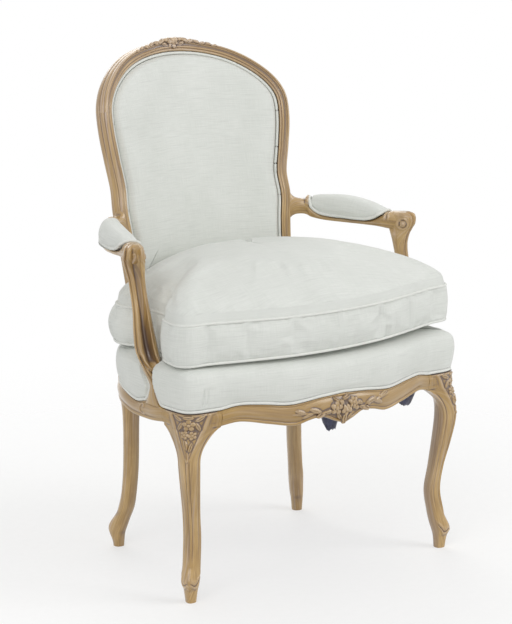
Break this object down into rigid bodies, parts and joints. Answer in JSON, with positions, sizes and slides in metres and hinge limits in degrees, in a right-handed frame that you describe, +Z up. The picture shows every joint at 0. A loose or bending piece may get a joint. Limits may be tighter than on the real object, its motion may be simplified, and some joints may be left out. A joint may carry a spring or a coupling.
{
  "type": "fauteuil",
  "caption": "Open-arm upholstered chair with carved cabriole wood frame, padded arms, tight seat and back, and a loose box cushion that lifts out.",
  "frame": {"origin": "on the floor under the middle of the chair's box", "axes": "+X to the right seen from the front, -Y towards the sitter's feet, +Z up"},
  "size_m": [0.642, 0.5898, 0.9489],
  "materials": {
    "frame_wood": "satin wax",
    "block_wood": "bare",
    "screw_steel": "plain",
    "cover_linen": "slub weave",
    "welt_linen": "slub weave",
    "jute": "coarse weave",
    "stuffing": "loose fibre",
    "dust_cloth": "glazed cotton",
    "zip_metal": "plain"
  },
  "bodies": {
    "frame": {"arm_left": "frame_wood", "arm_pad_cover_left": "cover_linen", "arm_pad_cover_right": "cover_linen", "arm_pad_stuffing_left": "stuffing", "arm_pad_stuffing_right": "stuffing", "arm_pad_welt_left": "welt_linen", "arm_pad_welt_right": "welt_linen", "arm_right": "frame_wood", "arm_support_left": "frame_wood", "arm_support_right": "frame_wood", "back_bottom_rail": "frame_wood", "back_cover": "cover_linen", "back_hessian": "jute", "back_stuffing": "stuffing", "back_welt": "welt_linen", "block_screw_front_left_1": "screw_steel", "block_screw_front_left_2": "screw_steel", "block_screw_front_right_1": "screw_steel", "block_screw_front_right_2": "screw_steel", "block_screw_rear_left_1": "screw_steel", "block_screw_rear_left_2": "screw_steel", "block_screw_rear_right_1": "screw_steel", "block_screw_rear_right_2": "screw_steel", "corner_block_front_left": "block_wood", "corner_block_front_right": "block_wood", "corner_block_rear_left": "block_wood", "corner_block_rear_right": "block_wood", "crest_rail": "frame_wood", "dust_cover": "dust_cloth", "front_leg_left": "frame_wood", "front_leg_right": "frame_wood", "front_rail": "frame_wood", "outside_back": "cover_linen", "rear_post_left": "frame_wood", "rear_post_right": "frame_wood", "rear_rail": "frame_wood", "seat_cover": "cover_linen", "seat_hessian": "jute", "seat_stuffing": "stuffing", "seat_welt_front": "welt_linen", "seat_welt_left": "welt_linen", "seat_welt_rear": "welt_linen", "seat_welt_right": "welt_linen", "side_rail_left": "frame_wood", "side_rail_right": "frame_wood", "webbing_across_1": "jute", "webbing_across_2": "jute", "webbing_across_3": "jute", "webbing_along_1": "jute", "webbing_along_2": "jute", "webbing_along_3": "jute", "webbing_along_4": "jute"},
    "cushion": {"cushion_cover": "cover_linen", "cushion_core": "stuffing", "cushion_welt_lower": "welt_linen", "cushion_welt_upper": "welt_linen", "cushion_zip": "zip_metal"}
  },
  "joints": [
    {"name": "cushion_lift", "type": "slide", "parent": "frame", "child": "cushion", "axis": [0, 0, 1], "range_m": [0, 0.05]}
  ]
}
